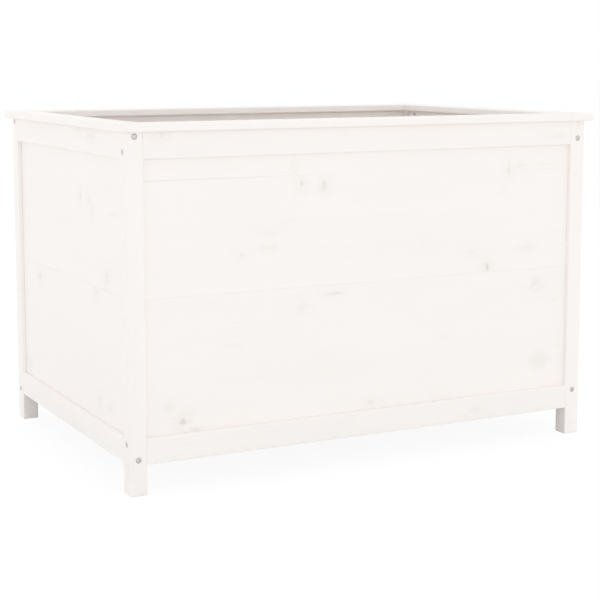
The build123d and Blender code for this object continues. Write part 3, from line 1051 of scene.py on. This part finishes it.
def turned_drawing(name, section, sides, kind, recess_radius, recess_depth):
    """Turns a section of (radius, height) in mm, and sinks a recess into its top face."""
    mesh = bmesh.new()
    turn = [2 * math.pi * i / sides for i in range(sides)]

    def ring(radii, height):
        flat = [(r * math.cos(a), r * math.sin(a)) for r, a in zip(radii, turn)]
        return [mesh.verts.new((x * MM, y * MM, height * MM)) for x, y in flat]

    shape = [recess_radius * recess_reach(kind, a, i, sides) for i, a in enumerate(turn)]
    top = section[0][1]
    rings = [ring([RECESS_TAPER * s for s in shape], top - recess_depth), ring(shape, top)]
    rings += [ring([radius] * sides, height) for radius, height in section]
    for upper, lower in zip(rings, rings[1:]):
        for i in range(sides):
            j = (i + 1) % sides
            mesh.faces.new((upper[i], lower[i], lower[j], upper[j]))
    mesh.faces.new(rings[0])
    mesh.faces.new(list(reversed(rings[-1])))
    bmesh.ops.recalc_face_normals(mesh, faces=mesh.faces)
    data = bpy.data.meshes.new(name)
    mesh.to_mesh(data)
    mesh.free()
    print(name, "faces:", len(data.polygons))
    return show_in_scene(name, data)


BOLT_HEAD = [(3.4, 0), (4.6, -0.45), (5.4, -1.3), (5.75, -2.4), (5.75, -3.2), (2.95, -3.2)]
SCREW_HEAD = [(3.3, 0), (3.9, -0.03), (4.0, -0.2), (2.0, -2.2)]
bolt = BOLT_HEAD + [(2.95, -77.2), (1.95, -78.2)]
drawings = {"bolt": turned_drawing("bolt_drawing", bolt, 24, "hexagon", 2.3, 2.0)}
for screw_length in (40, 35):
    section = SCREW_HEAD + [(2.0, 5 - screw_length), (0.3, -screw_length)]
    name = f"screw_{screw_length}_drawing"
    drawings[screw_length] = turned_drawing(name, section, 16, "cross", 2.2, 1.6)

# %% [markdown]
# The frame already knows where each fastener sits. The group of bolts is one node, so its
# mesh is parted into islands of faces that hang together, and the box of each island gives
# the middle, the long axis and the end where the head is.


# %% Find the fasteners in the frame
def island_boxes(name):
    """The lowest and highest corner of each separate solid in a CAD node."""
    mesh = bmesh.new()
    mesh.from_mesh(nodes[name].data)
    bmesh.ops.remove_doubles(mesh, verts=mesh.verts, dist=0.02 * MM)
    boxes, seen = [], set()
    for start in mesh.verts:
        if start in seen:
            continue
        seen.add(start)
        island, edge = [start], [start]
        while edge:
            for link in edge.pop().link_edges:
                for vertex in link.verts:
                    if vertex not in seen:
                        seen.add(vertex)
                        island.append(vertex)
                        edge.append(vertex)
        axes = list(zip(*[vertex.co for vertex in island]))
        boxes.append((Vector([min(a) for a in axes]), Vector([max(a) for a in axes])))
    mesh.free()
    return boxes


def heads(name, facing):
    """Where each head's top is, and which way it faces: up, out of the bed or into it."""
    spots, ways = [], []
    for low, high in island_boxes(name):
        size, middle = high - low, (low + high) / 2
        axis = max(range(3), key=lambda i: size[i])
        outward = math.copysign(1, middle[axis])
        sign = {"up": 1, "out": outward, "in": -outward}[facing]
        way = Vector([sign if i == axis else 0 for i in range(3)])
        spots.append(middle + way * (size[axis] / 2))
        ways.append(way)
    print(name, "found:", len(spots))
    return spots, ways


# %% [markdown]
# The next tree sets a drawing on points. Each point has a facing direction, and every
# fastener gets its own random turn about its axis, because nobody lines up screw heads.

# %% Geometry Nodes: set fasteners
set_fasteners, g, out = new_group(
    "Geometry",
    "Set Fasteners",
    {"Drawing": "object", "Points": "object", "Seed": 1, "Material": "material"},
    ONE_GEOMETRY,
)
w = set_fasteners
points = w.geo("ObjectInfo", {"Object": g["Points"]}, out="Geometry")
drawing = w.geo("ObjectInfo", {"Object": g["Drawing"]}, out="Geometry")
facing = attribute(w, "facing", "FLOAT_VECTOR")
aligned = w.add("FunctionNodeAlignRotationToVector", {"Vector": facing}, axis="Z")
spin = w.join(0.0, 0.0, random_value(w, 0.0, math.tau, g["Seed"]))
spin = w.add("FunctionNodeEulerToRotation", [spin])
turned = w.add("FunctionNodeRotateRotation", [aligned, spin], rotation_space="LOCAL")
placed = {"Points": points, "Instance": drawing, "Rotation": turned}
fasteners = w.geo("InstanceOnPoints", placed)
fasteners = w.geo("RealizeInstances", [fasteners])
fasteners = w.geo("SetMaterial", {"Geometry": fasteners, "Material": g["Material"]})
w.feed(out["Geometry"], fasteners)
print("set fasteners:", len(w.tree.nodes), "nodes")

# %% Set the bolts and screws
FASTENERS = {
    "connector_bolts": ("bolt", "out"),
    "rim_screws": (40, "up"),
    "slat_screws": (35, "up"),
    "ledger_screws": (40, "in"),
}
for number, (node, (drawing_name, facing)) in enumerate(FASTENERS.items()):
    spots, ways = heads(node, facing)
    helper = loose_points(node + "_places", spots, facing=ways)
    values = {
        "Drawing": drawings[drawing_name],
        "Points": helper,
        "Seed": number + 1,
        "Material": materials["steel"],
    }
    hold(run_tree(set_fasteners, f"{node}_turned", values), "zinc_steel", node)
    bpy.data.objects.remove(helper)
for drawing in drawings.values():
    bpy.data.objects.remove(drawing)

# %% [markdown]
# The posts, rails, rims, ledgers, nuts and dowels keep the mesh that came with the frame,
# since it has the real bevels, grooves and holes. Only their material slot is filled.

# %% Dress the pieces of the frame
LEVELS = ("top", "bottom")
DRESS = {
    "long_rail": [f"{side}_{level}_rail" for side in ("front", "back") for level in LEVELS],
    "short_rail": [f"{side}_{level}_rail" for side in ("left", "right") for level in LEVELS],
    "post": ["front_left_post", "front_right_post", "back_right_post", "back_left_post"],
    "long_rim": ["front_rim_board", "back_rim_board"],
    "short_rim": ["left_rim_board", "right_rim_board"],
    "ledger": ["front_ledger", "back_ledger", "floor_joist"],
    "dowel": ["rail_dowels"],
    "steel": ["barrel_nuts"],
}
for finish, names in DRESS.items():
    for name in names:
        slots = nodes[name].data.materials
        slots.clear()
        slots.append(materials[finish])
    print(finish, "on", len(names), "nodes")

# %% [markdown]
# The floor of the studio is one large plane. For the camera, and for rays that come off
# metal, it glows almost as white as the backdrop, and the small rest of it is matt, so the
# bed still leaves its shadow. For all other light it is a plain pale floor.


# %% The studio floor and backdrop
def seen_directly(w):
    """1 for rays from the camera, and for those mirrored or let through by a surface."""
    path = w.add("ShaderNodeLightPath", out=None)
    seen = w.math("MAXIMUM", path["Is Camera Ray"], path["Is Glossy Ray"])
    return w.math("MAXIMUM", seen, path["Is Transmission Ray"])


FLOOR_REACH = 40.0
FLOOR_GREY = 0.9
GLOW_SHARE = 0.9
GLOW_STRENGTH = 1.02
WHITE = (1.0, 1.0, 1.0, 1.0)
corners = [(-1, -1), (1, -1), (1, 1), (-1, 1)]
corners = [(x * FLOOR_REACH, y * FLOOR_REACH, 0.0) for x, y in corners]
floor_mesh = bpy.data.meshes.new("studio_floor")
floor_mesh.from_pydata(corners, [], [(0, 1, 2, 3)])
floor = show_in_scene("studio_floor", floor_mesh)
floor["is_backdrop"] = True
floor_paint, w, shader = new_material("studio_floor")
matt = w.add("ShaderNodeBsdfDiffuse", {"Color": (FLOOR_GREY, FLOOR_GREY, FLOOR_GREY, 1.0)})
glow = w.add("ShaderNodeEmission", {"Color": WHITE, "Strength": GLOW_STRENGTH})
mixed = w.add("ShaderNodeMixShader", [w.times(seen_directly(w), GLOW_SHARE), matt, glow])
w.feed(floor_paint.node_tree.nodes["Material Output"].inputs["Surface"], mixed)
floor_mesh.materials.append(floor_paint)

AMBIENT = 0.89
SKY = (0.955, 0.99, 1.0, 1.0)
world = bpy.data.worlds.new("studio")
bpy.context.scene.world = world
world.use_nodes = True
w = Wiring(world.node_tree)
background = world.node_tree.nodes["Background"].inputs
seen = seen_directly(w)
w.feed(background["Color"], w.blend(seen, SKY, WHITE, "RGBA"))
w.feed(background["Strength"], w.blend(seen, AMBIENT, 1.0))
print("ambient light:", AMBIENT, "of white")

# %% [markdown]
# White furniture is photographed in a light tent. Four long soft boxes stand round the bed
# like the walls of the tent, so that each face is lit almost squarely and the joints hardly
# cast a shadow. They are much taller than the bed, so some of their light also falls over
# the rim onto the inside, and a square box above it helps there. What a soft box brings
# depends on its radiance, where 1 is white, and an area light of power P and area A has a
# radiance of P / (pi * A).


# %% Soft boxes
def soft_box(name, wide, tall, radiance, colour, place, tilt, turn):
    lamp = bpy.data.lights.new(f"soft_box_{name}", "AREA")
    lamp.shape = "RECTANGLE"
    lamp.size, lamp.size_y = wide, tall
    lamp.energy = radiance * math.pi * wide * tall
    lamp.color = colour
    box = bpy.data.objects.new(f"soft_box_{name}", lamp)
    bpy.context.scene.collection.objects.link(box)
    box.location = place
    box.rotation_euler = (math.radians(tilt), 0.0, math.radians(turn))
    box.visible_camera = False
    print(name, "soft box:", round(lamp.energy), "W")


TENT_HALF = 4.0
WALL_WIDTH = 7.0
WALL_HEIGHT = 2.4
WALL_RADIANCE = {"front": 0.42, "right": 0.36, "back": 0.34, "left": 0.35}
WARM = (1.0, 0.97, 0.945)
COOL = (0.955, 0.99, 1.0)
TOP_SIDE = 3.0
TOP_RADIANCE = 0.4
for number, (name, radiance) in enumerate(WALL_RADIANCE.items()):
    turn = math.radians(90 * number)
    place = (TENT_HALF * math.sin(turn), -TENT_HALF * math.cos(turn), WALL_HEIGHT / 2)
    soft_box(name, WALL_WIDTH, WALL_HEIGHT, radiance, WARM, place, 90, 90 * number)
soft_box("top", TOP_SIDE, TOP_SIDE, TOP_RADIANCE, COOL, (0.0, 0.0, TENT_HALF), 0, 0)

# %% [markdown]
# The camera stands left of the front, a little above the rim and far enough away that the
# sides hardly converge. The lens and the place were fitted to the corners, the feet and the
# bolt heads of the photograph, whose frame is 600 pixels wide and high.

# %% Camera
FOCAL_PIXELS = 1468.5
FRAME_PIXELS = 600
SENSOR = 36.0
PITCH, YAW = 7.17, 27.51
camera_data = bpy.data.cameras.new("camera")
camera = bpy.data.objects.new("camera", camera_data)
bpy.context.scene.collection.objects.link(camera)
bpy.context.scene.camera = camera
camera_data.sensor_width = SENSOR
camera_data.lens = FOCAL_PIXELS / FRAME_PIXELS * SENSOR
camera_data.shift_y = -0.1
camera.location = (-1.644, -3.199, 0.917)
camera.rotation_euler = (math.radians(90 - PITCH), 0.0, math.radians(-YAW))
bpy.context.scene.view_settings.view_transform = "Standard"
print("lens:", round(camera_data.lens, 1), "mm")

# %% [markdown]
# The last cell prints the box of the frame and the box of the dressed bed. The two boxes
# should agree, because the looks may change but the size may not.

# %% Print the sizes
visual_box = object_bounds()
sizes = {"cad": [list(corner) for corner in cad_box], "visual": [list(corner) for corner in visual_box]}
print("frame box:", sizes["cad"])
print("dressed box:", sizes["visual"])
